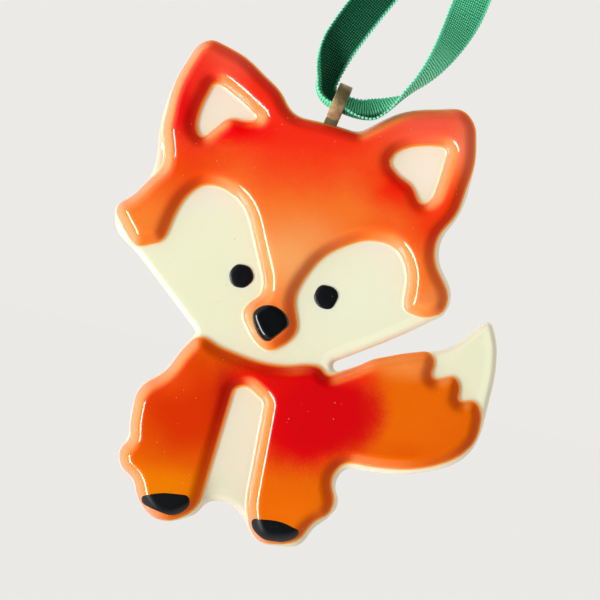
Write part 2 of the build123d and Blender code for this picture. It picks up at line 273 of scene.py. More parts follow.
def satin_material(name, ribs_from=None):
    """Green satin, dull where its shiny_side_and_painted_light mark is 0 and shiny where it is 1, a mark that paints
    light and shade as well as the two faces; it shows ribs within a reach of one place along it.
    """
    made, nodes, shader = new_material(
        name, Roughness=0.42, Sheen_Weight=0.05, Sheen_Roughness=0.35, Specular_IOR_Level=0.18
    )
    shader.inputs["Sheen Tint"].default_value = linear("#8FF0C4")
    place = add(nodes, "ShaderNodeUVMap", uv_map="weave").outputs[0]
    weave = add(nodes, "ShaderNodeGroup", node_tree=satin)
    made.node_tree.links.new(place, weave.inputs["Place"])
    if ribs_from is not None:
        along = add(nodes, "ShaderNodeSeparateXYZ", {0: place}).outputs[1]
        away = maths(nodes, "ABSOLUTE", maths(nodes, "SUBTRACT", along, ribs_from))
        made.node_tree.links.new(ramp(nodes, away, 18.0, 9.0), weave.inputs["Ribs"])
    # Painted light and shade: the mark below gives the dull colours to the back face and to the painted shade under
    # the band past the ring, and the shiny colours to the satin face and its painted light.
    shiny_side_and_painted_light = add(nodes, "ShaderNodeAttribute", attribute_name="shiny_side_and_painted_light").outputs["Fac"]
    patches = add(nodes, "ShaderNodeTexNoise", {"Vector": place, "Scale": 0.35, "Detail": 3.0})
    deep = blend(nodes, patches.outputs[0], linear("#062B19"), linear("#0A3A24"))
    dull = blend(nodes, weave.outputs["Thread"], deep, linear("#1F7A54"))
    shiny = blend(nodes, patches.outputs[0], linear("#078850"), linear("#14A870"))
    shiny = blend(nodes, weave.outputs["Thread"], shiny, linear("#8CF8C6"))
    hem = blend(nodes, shiny_side_and_painted_light, linear("#2A8A62"), linear("#5CE0AC"))
    colour = blend(nodes, weave.outputs["Selvedge"], blend(nodes, shiny_side_and_painted_light, dull, shiny), hem)
    lift = add(nodes, "ShaderNodeBump", {"Height": weave.outputs["Thread"], "Strength": 0.55, "Distance": 0.08 * MM})
    made.node_tree.links.new(colour, shader.inputs["Base Color"])
    made.node_tree.links.new(lift.outputs[0], shader.inputs["Normal"])
    return made


def stitch_tree(material):
    """Small lens-shaped stitches at an even pitch along the lines it is given."""
    tree = bpy.data.node_groups.new("selvedge stitches", "GeometryNodeTree")
    for label, kind, value in (
        ("Geometry", "NodeSocketGeometry", None), ("Pitch", "NodeSocketFloat", STITCH_PITCH),
        ("Length", "NodeSocketFloat", STITCH_LENGTH), ("Width", "NodeSocketFloat", STITCH_WIDTH),
        ("Seed", "NodeSocketInt", 3),
    ):
        socket = tree.interface.new_socket(label, in_out="INPUT", socket_type=kind)
        if value is not None:
            socket.default_value = value
    tree.interface.new_socket("Geometry", in_out="OUTPUT", socket_type="NodeSocketGeometry")
    nodes = tree.nodes
    given = nodes.new("NodeGroupInput").outputs
    curve = add(nodes, "GeometryNodeMeshToCurve", {"Mesh": given["Geometry"]})
    evened = add(
        nodes, "GeometryNodeResampleCurve", {"Curve": curve.outputs[0], "Length": given["Pitch"]}, mode="LENGTH"
    )
    bead = add(nodes, "GeometryNodeMeshIcoSphere", {"Radius": 0.5, "Subdivisions": 2})
    size = add(nodes, "ShaderNodeCombineXYZ", {0: given["Width"], 1: given["Width"], 2: given["Length"]})
    along = nodes.new("GeometryNodeInputTangent")
    turned = add(nodes, "FunctionNodeAlignRotationToVector", {"Vector": along.outputs[0]}, axis="Z")
    wobble = add(
        nodes, "FunctionNodeRandomValue",
        {0: (-0.35, -0.35, -0.35), 1: (0.35, 0.35, 0.35), "Seed": given["Seed"]}, data_type="FLOAT_VECTOR",
    )
    jolt = add(nodes, "FunctionNodeEulerToRotation", {0: wobble.outputs[0]})
    rotation = add(nodes, "FunctionNodeRotateRotation", {0: turned.outputs[0], 1: jolt.outputs[0]})
    placed = add(
        nodes, "GeometryNodeInstanceOnPoints",
        {"Points": evened.outputs[0], "Instance": bead.outputs[0], "Rotation": rotation.outputs[0], "Scale": size.outputs[0]},
    )
    real = add(nodes, "GeometryNodeRealizeInstances", {0: placed.outputs[0]})
    painted = add(nodes, "GeometryNodeSetMaterial", {"Geometry": real.outputs[0], "Material": material})
    tree.links.new(painted.outputs[0], nodes.new("NodeGroupOutput").inputs[0])
    return tree


def stitched(name, lines):
    """Stitches along open lines of points, as a plain mesh."""
    mesh = bpy.data.meshes.new(name)
    points, edges = [], []
    for line in lines:
        first = len(points)
        points += [tuple(p) for p in line]
        edges += [(first + i, first + i + 1) for i in range(len(line) - 1)]
    mesh.from_pydata(points, edges, [])
    holder = new_object(name + "_line", mesh)
    modifier = holder.modifiers.new("stitches", "NODES")
    modifier.node_group = stitches
    bpy.context.view_layer.update()
    evaluated = holder.evaluated_get(bpy.context.evaluated_depsgraph_get())
    made = bpy.data.meshes.new_from_object(evaluated)
    bpy.data.objects.remove(holder)
    made.shade_smooth()
    return new_object(name, made)


def ribbon_marks(line):
    """Turn and curl at each point of the line, steady where it lies inside the ring."""
    reach = lengths_along(line)
    middles = [(Vector(a) + Vector(b)) * 0.5 * MM for a, b in zip(RIBBON_ROUTE, RIBBON_ROUTE[1:])]
    marks = [reach[np.argmin(np.linalg.norm(line - np.array(m), axis=1))] for m in middles]
    hold = 1.65 * MM
    ring = RIBBON_CURLS.index(1)
    places = marks[:ring] + [marks[ring] - hold, marks[ring] + hold] + marks[ring + 1:]
    turns = RIBBON_TURNS[:ring + 1] + RIBBON_TURNS[ring:]
    curls = RIBBON_CURLS[:ring + 1] + RIBBON_CURLS[ring:]
    return np.interp(reach, places, turns), np.interp(reach, places, curls) * RING_CURL, marks[ring]


def ribbon_shine_and_painted_light(mesh):
    """0 on the ribbon's dull inner side, left of the ring, and 1 where its shiny side has turned to view; it also
    paints shade, 0 on the band's underside just past the ring, and light, 1 on the left strand's edge near the ring.
    """
    count, rows = len(ribbon_line), STEPS_ACROSS + 1
    place = np.array([v.co[:] for v in mesh.vertices]).reshape(2, rows, count, 3)
    beyond = lengths_along(ribbon_line) / MM - ring_at / MM
    to_left = place @ np.array([-math.cos(LEAN), 0, -math.sin(LEAN)])
    share = (to_left - to_left.min(axis=1, keepdims=True)) / np.ptp(to_left, axis=1, keepdims=True).clip(0.1 * MM)
    low = place[..., 2]
    down = (low.max(axis=1, keepdims=True) - low) / np.ptp(low, axis=1, keepdims=True).clip(0.1 * MM)
    turned = 0.6 + 0.44 * np.clip((-beyond - 3) / 11, 0, 1)
    # Partly painted light: near the ring the left part of the strand's width is set shiny and light.
    left_strand = np.clip((share - turned) / 0.05, 0, 1)
    # Painted shade: just past the ring the lowest quarter of the band's width is set dull and dark.
    by_ring = np.clip((0.74 - down) / 0.12, 0, 1)
    right_strand = np.clip((beyond - 8) / 3, 0, 1)
    right = np.maximum(by_ring, right_strand)
    return np.where(beyond < -1, left_strand, right).astype(np.float32).ravel()


ribbon_line = even_line(nurbs_line(RIBBON_ROUTE, "ribbon_route"), STEP_ALONG)
ribbon_line = ribbon_line[ribbon_line[:, 2] < 0.4 * MM]
turns, curls, ring_at = ribbon_marks(ribbon_line)
along = unit(np.gradient(ribbon_line, axis=0))
inward = unit(np.cross(along, (0, 1, 0)))
level = unit(np.cross(inward, along))
angles = np.radians(turns)[:, None]
ribbon_inner = inward * np.cos(angles) + level * np.sin(angles)
satin = satin_group()
ribbon_satin = satin_material("ribbon satin", ring_at / MM + 11)
stitch_thread, _, stitch_shader = new_material("selvedge thread", Roughness=0.35, Sheen_Weight=0.3)
stitch_shader.inputs["Base Color"].default_value = linear("#7FE0BC")
stitches = stitch_tree(stitch_thread)
ribbon_mesh, selvedges = band_mesh(
    "ribbon_band", ribbon_line, ribbon_inner, curls, RIBBON_WIDTH, RIBBON_THICKNESS, SELVEDGE_SWELL
)
ribbon_mesh.attributes.new("shiny_side_and_painted_light", "FLOAT", "POINT").data.foreach_set("value", ribbon_shine_and_painted_light(ribbon_mesh))
ribbon_mesh.materials.append(ribbon_satin)
ribbon = new_object("ribbon_band", ribbon_mesh)
ribbon_stitches = stitched("ribbon_stitches", selvedges)


# Cream base
# One sheet of opal glass, 3 mm thick, that lies under everything else.
# The kiln rounds its edge, leaves its back matt, and draws it up a little against the sheets on it.

DRAWING_PIXEL = 78 / 418 * MM


def clean_copy(node):
    """A node's triangles with their shared corners merged."""
    copy = bmesh.new()
    copy.from_mesh(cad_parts[node].data)
    bmesh.ops.remove_doubles(copy, verts=copy.verts, dist=0.002 * MM)
    return copy


def outlines(node, depth):
    """Closed outlines of a node's side wall where it meets the plane at this depth, as x and z."""
    solid = clean_copy(node)
    near = {v.index for v in solid.verts if abs(v.co.y - depth) < 0.004 * MM}
    follows = {}
    for edge in solid.edges:
        a, b = edge.verts
        if a.index in near and b.index in near:
            faces = edge.link_faces
            if any(max(abs(v.co.y - depth) for v in face.verts) > 0.02 * MM for face in faces):
                follows.setdefault(a.index, []).append(b.index)
                follows.setdefault(b.index, []).append(a.index)
    solid.verts.ensure_lookup_table()
    loops = []
    left = {index for index, nexts in follows.items() if len(nexts) == 2}
    while left:
        start = min(left)
        loop, last, here = [], None, start
        while here in left:
            left.discard(here)
            loop.append((solid.verts[here].co.x, solid.verts[here].co.z))
            ahead = [n for n in follows[here] if n != last]
            last, here = here, ahead[0]
        loops.append(np.array(loop))
    solid.free()
    return [loop for loop in loops if len(loop) > 8]


def signed_area(loop):
    x, z = loop[:, 0], loop[:, 1]
    return 0.5 * float(np.sum(x * np.roll(z, -1) - np.roll(x, -1) * z))


def even_loop(loop, step):
    """The same closed outline with points at an even distance."""
    closed = np.vstack([loop, loop[:1]])
    reach = np.concatenate([[0], np.cumsum(np.linalg.norm(np.diff(closed, axis=0), axis=1))])
    count = max(12, int(round(reach[-1] / step)))
    places = np.arange(count) * reach[-1] / count
    return np.column_stack([np.interp(places, reach, closed[:, axis]) for axis in (0, 1)])


def outward(loop):
    """Unit normals of an outline whose glass lies on its left."""
    along = np.roll(loop, -1, axis=0) - np.roll(loop, 1, axis=0)
    along /= np.linalg.norm(along, axis=1)[:, None]
    return np.column_stack([along[:, 1], -along[:, 0]])


def on_figure(x, y):
    """Place on the figure of a point of the drawing, as x and z."""
    across, up = (x - 340) * DRAWING_PIXEL, (99 - y) * DRAWING_PIXEL
    return np.array([
        across * math.cos(LEAN) - up * math.sin(LEAN),
        across * math.sin(LEAN) + up * math.cos(LEAN) + RING_CENTRE.z,
    ])


def let_out(loop, places):
    """An outline let out where the melt has run past its cut: drawing place, reach and distance."""
    far = np.zeros(len(loop))
    for x, y, reach, distance in places:
        away = np.linalg.norm(loop - on_figure(x, y), axis=1) / DRAWING_PIXEL / reach
        far += distance * DRAWING_PIXEL * np.exp(-away ** 2)
    return loop + outward(loop) * far[:, None]


class Shape:
    """Plan of one sheet: its outlines, and how far any point is inside them."""

    cell = 0.25 * MM
    low = np.array([-42 * MM, -168 * MM])
    size = (348, 384)

    def __init__(self, loops, soften, let=()):
        loops = sorted(loops, key=lambda loop: -abs(signed_area(loop)))
        self.loops = []
        for i, loop in enumerate(loops):
            wanted = 1 if i == 0 else -1
            if signed_area(loop) * wanted < 0:
                loop = loop[::-1]
            self.loops.append(even_loop(let_out(even_loop(loop, 0.3 * MM), let), 0.3 * MM))
        fine = [even_loop(loop, 0.08 * MM) for loop in self.loops]
        points = np.vstack(fine)
        self.normals = np.vstack([outward(loop) for loop in fine])
        self.points = points
        self.tree = KDTree(len(points))
        for i, (x, z) in enumerate(points):
            self.tree.insert((x, z, 0), i)
        self.tree.balance()
        columns, rows = self.size
        inside = np.zeros((columns, rows))
        for i in range(columns):
            for j in range(rows):
                inside[i, j] = self.inside_of(self.low[0] + i * self.cell, self.low[1] + j * self.cell)
        self.inside = blur(inside, soften / self.cell)
        self.slope = np.stack(np.gradient(self.inside, self.cell), axis=-1)

    def inside_of(self, x, z):
        _, index, distance = self.tree.find((x, z, 0))
        away = (x - self.points[index, 0]) * self.normals[index, 0]
        away += (z - self.points[index, 1]) * self.normals[index, 1]
        return -distance if away > 0 else distance

    def read(self, field, at):
        """Value of a field on the grid at any points."""
        place = (at - self.low) / self.cell
        base = np.clip(np.floor(place).astype(int), 0, np.array(self.size) - 2)
        part = place - base
        i, j = base[:, 0], base[:, 1]
        u, v = part[:, 0], part[:, 1]
        if field.ndim == 3:
            u, v = u[:, None], v[:, None]
        left = field[i, j] * (1 - v) + field[i, j + 1] * v
        right = field[i + 1, j] * (1 - v) + field[i + 1, j + 1] * v
        return left * (1 - u) + right * u


def blur(field, spread):
    reach = int(math.ceil(3 * spread))
    weights = [math.exp(-0.5 * (k / spread) ** 2) for k in range(-reach, reach + 1)]
    total = sum(weights)
    for axis in (0, 1):
        padded = np.pad(field, [(reach, reach) if a == axis else (0, 0) for a in (0, 1)], mode="edge")
        field = sum(
            w / total * np.take(padded, range(k, k + field.shape[axis]), axis=axis)
            for k, w in enumerate(weights)
        )
    return field


def shoulder(inside, width):
    """Quarter-round rise over a width, and how fast it rises."""
    u = np.clip(inside / width, 0.004, 1)
    rise = np.sqrt(1 - (1 - u) ** 2)
    return rise, np.where(inside < width, (1 - u) / rise / width, 0)


def thin_out(points, keep_from, spacing):
    """Points of later groups are dropped where earlier ones already lie closer than the spacing."""
    taken = {}
    kept = []
    for index, (x, z) in enumerate(points):
        i, j = int(x // spacing), int(z // spacing)
        close = any(
            math.hypot(x - ox, z - oz) < 0.62 * spacing
            for di in (-1, 0, 1) for dj in (-1, 0, 1)
            for ox, oz in taken.get((i + di, j + dj), ())
        )
        if index < keep_from or not close:
            taken.setdefault((i, j), []).append((x, z))
            kept.append(index)
    return points[kept]


def ring_points(shape, loops, offsets, sign):
    """Points along outlines, set in (sign -1) or out (sign +1) by each offset."""
    rings = []
    for offset in offsets:
        for loop in loops:
            ring = loop + outward(loop) * (sign * offset)
            reach = np.array([shape.tree.find((x, z, 0))[2] for x, z in ring])
            rings.append(ring[reach > 0.96 * offset])
    return np.vstack(rings) if rings else np.zeros((0, 2))


def hex_points(low, high, spacing):
    rows = []
    step = spacing * math.sqrt(3) / 2
    for k, z in enumerate(np.arange(low[1], high[1], step)):
        x = np.arange(low[0] + (k % 2) * spacing / 2, high[0], spacing)
        rows.append(np.column_stack([x, np.full(len(x), z)]))
    return np.vstack(rows)


def triangles(shape, free_points):
    """Flat triangles that fill the outlines and use the free points."""
    coords, edges = [], []
    for loop in shape.loops:
        first = len(coords)
        coords += [Vector(point) for point in loop]
        count = len(loop)
        edges += [(first + i, first + (i + 1) % count) for i in range(count)]
    coords += [Vector(point) for point in free_points]
    places, _, faces, sources, _, _ = delaunay_2d_cdt(coords, edges, [], 0, 1e-7)
    places = np.array([p[:] for p in places])
    found = {old: new for new, olds in enumerate(sources) for old in olds}
    rims, first = [], 0
    for loop in shape.loops:
        rims.append([found[first + i] for i in range(len(loop))])
        first += len(loop)
    inner = []
    for face in faces:
        centre = places[list(face)].mean(axis=0)
        if shape.inside_of(*centre) > 0:
            a, b, c = (places[i] for i in face)
            turn = (b[0] - a[0]) * (c[1] - a[1]) - (b[1] - a[1]) * (c[0] - a[0])
            inner.append(tuple(face) if turn > 0 else tuple(reversed(face)))
    return places, inner, rims


def glass_mesh(name, shape, free_points, surface, back, marks, chamfer=0):
    """Closed piece: a shaped front, an upright wall and a flat back at one depth."""
    places, faces, rims = triangles(shape, free_points)
    rise, gradient = surface(places)
    front = np.column_stack([places[:, 0], -rise, places[:, 1]])
    normals = np.column_stack([-gradient[:, 0], -np.ones(len(places)), -gradient[:, 1]])
    normals /= np.linalg.norm(normals, axis=1)[:, None]
    verts = [tuple(v) for v in front]
    polys = [tuple(face) for face in faces]
    corner_normals = [tuple(normals[i]) for face in faces for i in face]
    back_loops = []
    for loop, top in zip(shape.loops, rims):
        out = outward(loop)
        levels = [(back - chamfer, 0)] if chamfer else []
        levels.append((back, chamfer))
        above, above_normals = top, out
        count = len(loop)
        for depth, inset in levels:
            first = len(verts)
            verts += [(x - n[0] * inset, depth, z - n[1] * inset) for (x, z), n in zip(loop, out)]
            below = list(range(first, first + count))
            for i in range(count):
                j = (i + 1) % count
                polys.append((above[i], below[i], below[j], above[j]))
                tilt = 0.7 if inset else 0
                for k in (i, i, j, j):
                    side = Vector((out[k][0], tilt, out[k][1])).normalized()
                    corner_normals.append(tuple(side))
            above = below
        back_loops.append((loop - out * chamfer, above))
    coords, edges = [], []
    index = []
    for loop, ids in back_loops:
        first = len(coords)
        coords += [Vector(point) for point in loop]
        index += ids
        edges += [(first + i, first + (i + 1) % len(loop)) for i in range(len(loop))]
    _, _, caps, sources, _, _ = delaunay_2d_cdt(coords, edges, [], 0, 1e-9)
    for face in caps:
        face = [sources[i][0] for i in face]
        centre = sum((coords[i] for i in face), Vector((0, 0))) / 3
        if shape.inside_of(*centre) > chamfer:
            a, b, c = (coords[i] for i in face)
            turn = (b - a).cross(c - a)
            order = list(reversed(face)) if turn > 0 else list(face)
            polys.append(tuple(index[i] for i in order))
            corner_normals += [(0, 1, 0)] * 3
    mesh = bpy.data.meshes.new(name)
    mesh.from_pydata(verts, [], polys)
    mesh.update()
    mesh.shade_smooth()
    mesh.normals_split_custom_set(corner_normals)
    plan = np.array([(v.co.x, v.co.z) for v in mesh.vertices])
    for mark, values in marks(plan).items():
        layer = mesh.attributes.new(mark, "FLOAT", "POINT")
        layer.data.foreach_set("value", values.astype(np.float32))
    return new_object(name, mesh)


BASE_BACK = 3 * MM
BASE_CHAMFER = 0.3 * MM
BASE_ROUND = 1.3 * MM
MENISCUS_HEIGHT = 0.28 * MM
MENISCUS_WIDTH = 0.55 * MM
RIM_DEPTH = 1.6 * MM
GRID_STEP = 0.9 * MM
HEAD_LET = [
    (180, 70, 40, 3.2), (232, 50, 34, 2.2), (276, 97, 22, 5.6), (325, 127, 40, 3.2), (411, 115, 26, 4.6),
    (460, 113, 18, 2.5), (472, 150, 34, 2.6), (452, 214, 20, 4.0), (150, 182, 26, 2.6), (122, 204, 15, 1.6),
    (325, 262, 26, -2.6), (195, 196, 30, -2.8), (150, 249, 12, -2.4), (135, 243, 10, 2.5),
]
BODY_LET = [
    (376, 466, 34, 3.0), (464, 450, 20, 2.5), (258, 537, 14, 2.6), (300, 536, 12, 2.4), (158, 519, 16, 2.6),
    (158, 372, 24, -2.2), (206, 339, 10, 1.8), (304, 367, 12, 1.4), (372, 363, 12, 1.6),
]
BASE_LET = [(x, y, reach, 0.8 * distance - 0.6) for x, y, reach, distance in HEAD_LET[:10]] + BODY_LET[:5]
head_shape = Shape(outlines("head_overlay", -RIM_DEPTH), 0.42 * MM, HEAD_LET)
body_shape = Shape(outlines("body_overlay", -RIM_DEPTH), 0.42 * MM, BODY_LET)


def drawn_in(loop):
    """The base's outline drawn in to a thin line where a sheet on it ends close to its edge."""
    loop = let_out(even_loop(loop, 0.3 * MM), BASE_LET)
    gap = -np.maximum(head_shape.read(head_shape.inside, loop), body_shape.read(body_shape.inside, loop))
    far = np.clip(gap - BASE_LINE, 0, None) * np.clip((1.7 * MM - gap) / (0.6 * MM), 0, 1)
    near = [np.linalg.norm(loop - on_figure(x, y), axis=1) / DRAWING_PIXEL / reach for x, y, reach in DRAWN_IN]
    far *= np.clip(sum(np.exp(-away ** 2) for away in near), 0, 1)
    far = np.convolve(np.concatenate([far[-4:], far, far[:4]]), np.ones(9) / 9, "valid")
    return loop - outward(loop) * far[:, None]


BASE_LINE = 0.3 * MM
DRAWN_IN = [
    (205, 40, 34), (262, 75, 36), (300, 118, 36), (360, 128, 36), (430, 108, 46), (470, 125, 34), (475, 168, 22),
    (176, 72, 30), (142, 186, 20), (114, 206, 14), (170, 362, 26), (138, 395, 32), (118, 450, 30), (135, 500, 28), (170, 522, 24), (262, 547, 22),
]
base_shape = Shape(
    [drawn_in(loop if signed_area(loop) > 0 else loop[::-1]) for loop in outlines("base_glass", BASE_BACK - BASE_CHAMFER)],
    0.35 * MM,
)


def base_surface(at):
    """Height in front of the joint plane and its slope, for points of the plan."""
    inside = base_shape.read(base_shape.inside, at)
    rise, steep = shoulder(inside, BASE_ROUND)
    height = BASE_ROUND * (rise - 1)
    slope = (BASE_ROUND * steep)[:, None] * base_shape.read(base_shape.slope, at)
    for sheet in (head_shape, body_shape):
        under = sheet.read(sheet.inside, at)
        near = np.clip(1 + under / MENISCUS_WIDTH, 0, 1)
        sunk = np.clip((under - 0.3 * MM) / MM, 0, 1)
        height += MENISCUS_HEIGHT * (near ** 2 - 1.6 * sunk)
        steep = np.where(under < 0, 2 * near / MENISCUS_WIDTH, 0) * MENISCUS_HEIGHT
        slope += steep[:, None] * sheet.read(sheet.slope, at)
    return height, slope


def edge_marks(shape):
    """Depth inside a piece's outline, and how far the nearest edge faces left, towards the window light."""
    def marks(at):
        uphill = shape.read(shape.slope, at)
        uphill /= np.linalg.norm(uphill, axis=1)[:, None].clip(0.01)
        return {"rim": shape.read(shape.inside, at) / MM, "left": uphill @ (math.cos(LEAN), math.sin(LEAN))}
    return marks


def base_marks(at):
    near = np.maximum(head_shape.read(head_shape.inside, at), body_shape.read(body_shape.inside, at))
    return edge_marks(base_shape)(at) | {"overlay": -near / MM}


base_points = np.vstack([
    ring_points(base_shape, base_shape.loops, [k * MM for k in (0.08, 0.2, 0.36, 0.56, 0.8, 1.08, 1.4)], -1),
    ring_points(head_shape, head_shape.loops, [k * MM for k in (0.06, 0.22, 0.42, 0.65, 0.9, 1.2)], 1),
    ring_points(body_shape, body_shape.loops, [k * MM for k in (0.06, 0.22, 0.42, 0.65, 0.9, 1.2)], 1),
    ring_points(head_shape, head_shape.loops, [0.15 * MM, 0.5 * MM], -1),
    ring_points(body_shape, body_shape.loops, [0.15 * MM, 0.5 * MM], -1),
    hex_points(base_shape.low, -base_shape.low * 0 + np.array([46 * MM, -72 * MM]), GRID_STEP),
])
base_points = base_points[base_shape.read(base_shape.inside, base_points) > 0.05 * MM]
base_points = thin_out(base_points, 0, 0.22 * MM)
base_glass = glass_mesh(
    "cream_base", base_shape, base_points, base_surface, BASE_BACK, base_marks, BASE_CHAMFER
)


def on_drawing(nodes):
    """Object coordinates turned and scaled to the drawing that the outlines come from."""
    here = add(nodes, "ShaderNodeTexCoord").outputs["Object"]
    scale = 418 / 78 / MM
    return add(
        nodes, "ShaderNodeMapping",
        {0: here, "Location": (438.9, 0, 312.7), "Rotation": (0, LEAN, 0), "Scale": (scale,) * 3},
    ).outputs[0]


def airbrush_and_painted_light_group():
    """Soft grainy spot round one place of the drawing."""
    tree, nodes, given, end = new_group(
        "airbrush_and_painted_light",
        [("Place", "NodeSocketVector", None), ("Centre", "NodeSocketVector", None),
         ("Reach", "NodeSocketVector", None), ("Softness", "NodeSocketFloat", 0.8)],
        [("Mask", "NodeSocketFloat")],
    )
    offset = add(nodes, "ShaderNodeVectorMath", {0: given["Place"], 1: given["Centre"]}, operation="SUBTRACT")
    shares = add(nodes, "ShaderNodeVectorMath", {0: offset.outputs[0], 1: given["Reach"]}, operation="DIVIDE")
    flat = add(nodes, "ShaderNodeVectorMath", {0: shares.outputs[0], 1: (1, 0, 1)}, operation="MULTIPLY")
    away = add(nodes, "ShaderNodeVectorMath", {0: flat.outputs[0]}, operation="LENGTH").outputs["Value"]
    broad = add(nodes, "ShaderNodeTexNoise", {"Vector": given["Place"], "Scale": 0.03, "Detail": 2.0}).outputs[0]
    grain = add(nodes, "ShaderNodeTexNoise", {"Vector": given["Place"], "Scale": 0.6, "Detail": 1.0}).outputs[0]
    away = maths(nodes, "ADD", away, maths(nodes, "MULTIPLY", maths(nodes, "SUBTRACT", broad, 0.5), 0.25))
    away = maths(nodes, "ADD", away, maths(nodes, "MULTIPLY", maths(nodes, "SUBTRACT", grain, 0.5), 0.15))
    inner = maths(nodes, "SUBTRACT", 1.0, given["Softness"])
    mask = add(
        nodes, "ShaderNodeMapRange", {0: away, 1: 1.0, 2: inner, 3: 0.0, 4: 1.0}, interpolation_type="SMOOTHSTEP"
    )
    tree.links.new(mask.outputs[0], end.inputs["Mask"])
    return tree


def specks_group():
    """Tiny seeds and bubbles scattered in fused glass."""
    tree, nodes, given, end = new_group(
        "glass seeds",
        [("Place", "NodeSocketVector", None), ("Spacing", "NodeSocketFloat", 11.0),
         ("Share", "NodeSocketFloat", 0.4)],
        [("Light", "NodeSocketFloat"), ("Dark", "NodeSocketFloat")],
    )
    scale = maths(nodes, "DIVIDE", 1.0, given["Spacing"])
    cells = add(nodes, "ShaderNodeTexVoronoi", {"Vector": given["Place"], "Scale": scale})
    pick = add(nodes, "ShaderNodeSeparateColor", {0: cells.outputs["Color"]})
    size = maths(nodes, "MULTIPLY_ADD", pick.outputs[1], 0.07)
    size.node.inputs[2].default_value = 0.05
    dot = add(nodes, "ShaderNodeMapRange", {0: cells.outputs["Distance"], 1: size, 2: maths(nodes, "MULTIPLY", size, 0.4)})
    chosen = maths(nodes, "LESS_THAN", pick.outputs[0], given["Share"])
    shown = maths(nodes, "MULTIPLY", dot.outputs[0], chosen)
    dark = maths(nodes, "LESS_THAN", pick.outputs[2], 0.3)
    tree.links.new(maths(nodes, "MULTIPLY", shown, maths(nodes, "SUBTRACT", 1.0, dark)), end.inputs["Light"])
    tree.links.new(maths(nodes, "MULTIPLY", shown, dark), end.inputs["Dark"])
    return tree


def spots(nodes, place, colour, touches):
    """Soft touches laid over a colour in order: centre, reach, softness, share and colour; most are airbrushed paint
    and changes of tone, and some are painted light and shade.
    """
    for x, y, reach_x, reach_y, softness, share, tint in touches:
        spray = add(
            nodes, "ShaderNodeGroup", node_tree=airbrush_and_painted_light,
            inputs={},
        )
        place.node.id_data.links.new(place, spray.inputs["Place"])
        spray.inputs["Centre"].default_value = (x, 0, -y)
        spray.inputs["Reach"].default_value = (reach_x, 1, reach_y)
        spray.inputs["Softness"].default_value = softness
        mask = maths(nodes, "MULTIPLY", spray.outputs["Mask"], share)
        colour = blend(nodes, mask, colour, linear(tint))
    return colour


def seeded(nodes, place, colour, light, dark, spacing, share):
    """Colour with pale and dark seeds in it."""
    seeds = add(nodes, "ShaderNodeGroup", node_tree=specks)
    place.node.id_data.links.new(place, seeds.inputs["Place"])
    seeds.inputs["Spacing"].default_value = spacing
    seeds.inputs["Share"].default_value = share
    colour = blend(nodes, maths(nodes, "MULTIPLY", seeds.outputs["Light"], 0.8), colour, linear(light))
    return blend(nodes, maths(nodes, "MULTIPLY", seeds.outputs["Dark"], 0.45), colour, linear(dark))


def attribute(nodes, name):
    return add(nodes, "ShaderNodeAttribute", attribute_name=name).outputs["Fac"]


def ripple(nodes, place, shader, strength, matt=None):
    """Faint unevenness of a kiln-fired surface, and the kiln shelf's grain where it is matt."""
    height = add(
        nodes, "ShaderNodeTexNoise", {"Vector": place, "Scale": 0.055, "Detail": 2.0, "Roughness": 0.4}
    ).outputs[0]
    if matt is not None:
        grain = add(nodes, "ShaderNodeTexNoise", {"Vector": place, "Scale": 0.7, "Detail": 3.0}).outputs[0]
        height = maths(nodes, "ADD", height, maths(nodes, "MULTIPLY", grain, matt))
    lift = add(nodes, "ShaderNodeBump", {"Height": height, "Strength": strength, "Distance": 0.3 * MM})
    place.node.id_data.links.new(lift.outputs[0], shader.inputs["Normal"])
    place.node.id_data.links.new(lift.outputs[0], shader.inputs["Coat Normal"])


def duller(nodes, shader, rim, left, front=1.0):
    """Less shine on the rims that face away from the window, and none on the back."""
    shine = add(nodes, "ShaderNodeMapRange", {0: left, 1: -0.1, 2: 0.5, 3: 0.1, 4: 1.0}).outputs[0]
    shine = maths(nodes, "MULTIPLY", maths(nodes, "MAXIMUM", shine, ramp(nodes, rim, 2.0, 2.8)), front)
    shader.id_data.links.new(shine, shader.inputs["Coat Weight"])


airbrush_and_painted_light = airbrush_and_painted_light_group()
specks = specks_group()
cream_glass, nodes, shader = new_material(
    "cream opal glass", Roughness=0.3, Specular_IOR_Level=0.0, Coat_Weight=1.0, Coat_Roughness=0.03, Coat_IOR=1.6,
    Subsurface_Weight=0.25, Subsurface_Scale=1.2 * MM,
)
shader.inputs["Subsurface Radius"].default_value = (1.0, 0.8, 0.5)
drawing = on_drawing(nodes)
cream = spots(nodes, drawing, linear("#EEF0D2"), [
    (205, 285, 90, 110, 1.0, 0.8, "#ECEFCA"),
    (370, 300, 90, 70, 1.0, 0.6, "#EFF4D8"),
    (240, 450, 60, 100, 0.8, 0.9, "#EEE9D0"),
    (478, 370, 40, 60, 1.0, 0.6, "#EFEFCC"),
    # Painted light: the next two touches whiten the cream inside the ear windows, where the sheets' walls shade it.
    (222, 105, 50, 45, 0.8, 0.8, "#F3EADA"),
    (425, 168, 50, 45, 0.8, 0.8, "#F8F3E2"),
    (240, 277, 17, 17, 0.5, 0.75, "#F8F6E6"),
    (325, 298, 17, 17, 0.5, 0.75, "#F8F6E6"),
    (205, 195, 60, 36, 1.0, 0.7, "#F0ECDA"),
    (385, 250, 60, 30, 1.0, 0.6, "#F4F2E2"),
    (157, 140, 20, 62, 1.0, 0.9, "#F4B08A"),
])
front = ramp(nodes, add(nodes, "ShaderNodeSeparateXYZ", {0: drawing}).outputs[1], 15.6, 14.2)
stain = maths(nodes, "MULTIPLY", ramp(nodes, attribute(nodes, "overlay"), 0.8, 0.0), 0.35)
cream = blend(nodes, maths(nodes, "MULTIPLY", stain, front), cream, linear("#F3D2A2"))
line = ramp(nodes, attribute(nodes, "overlay"), 0.22, 0.04)
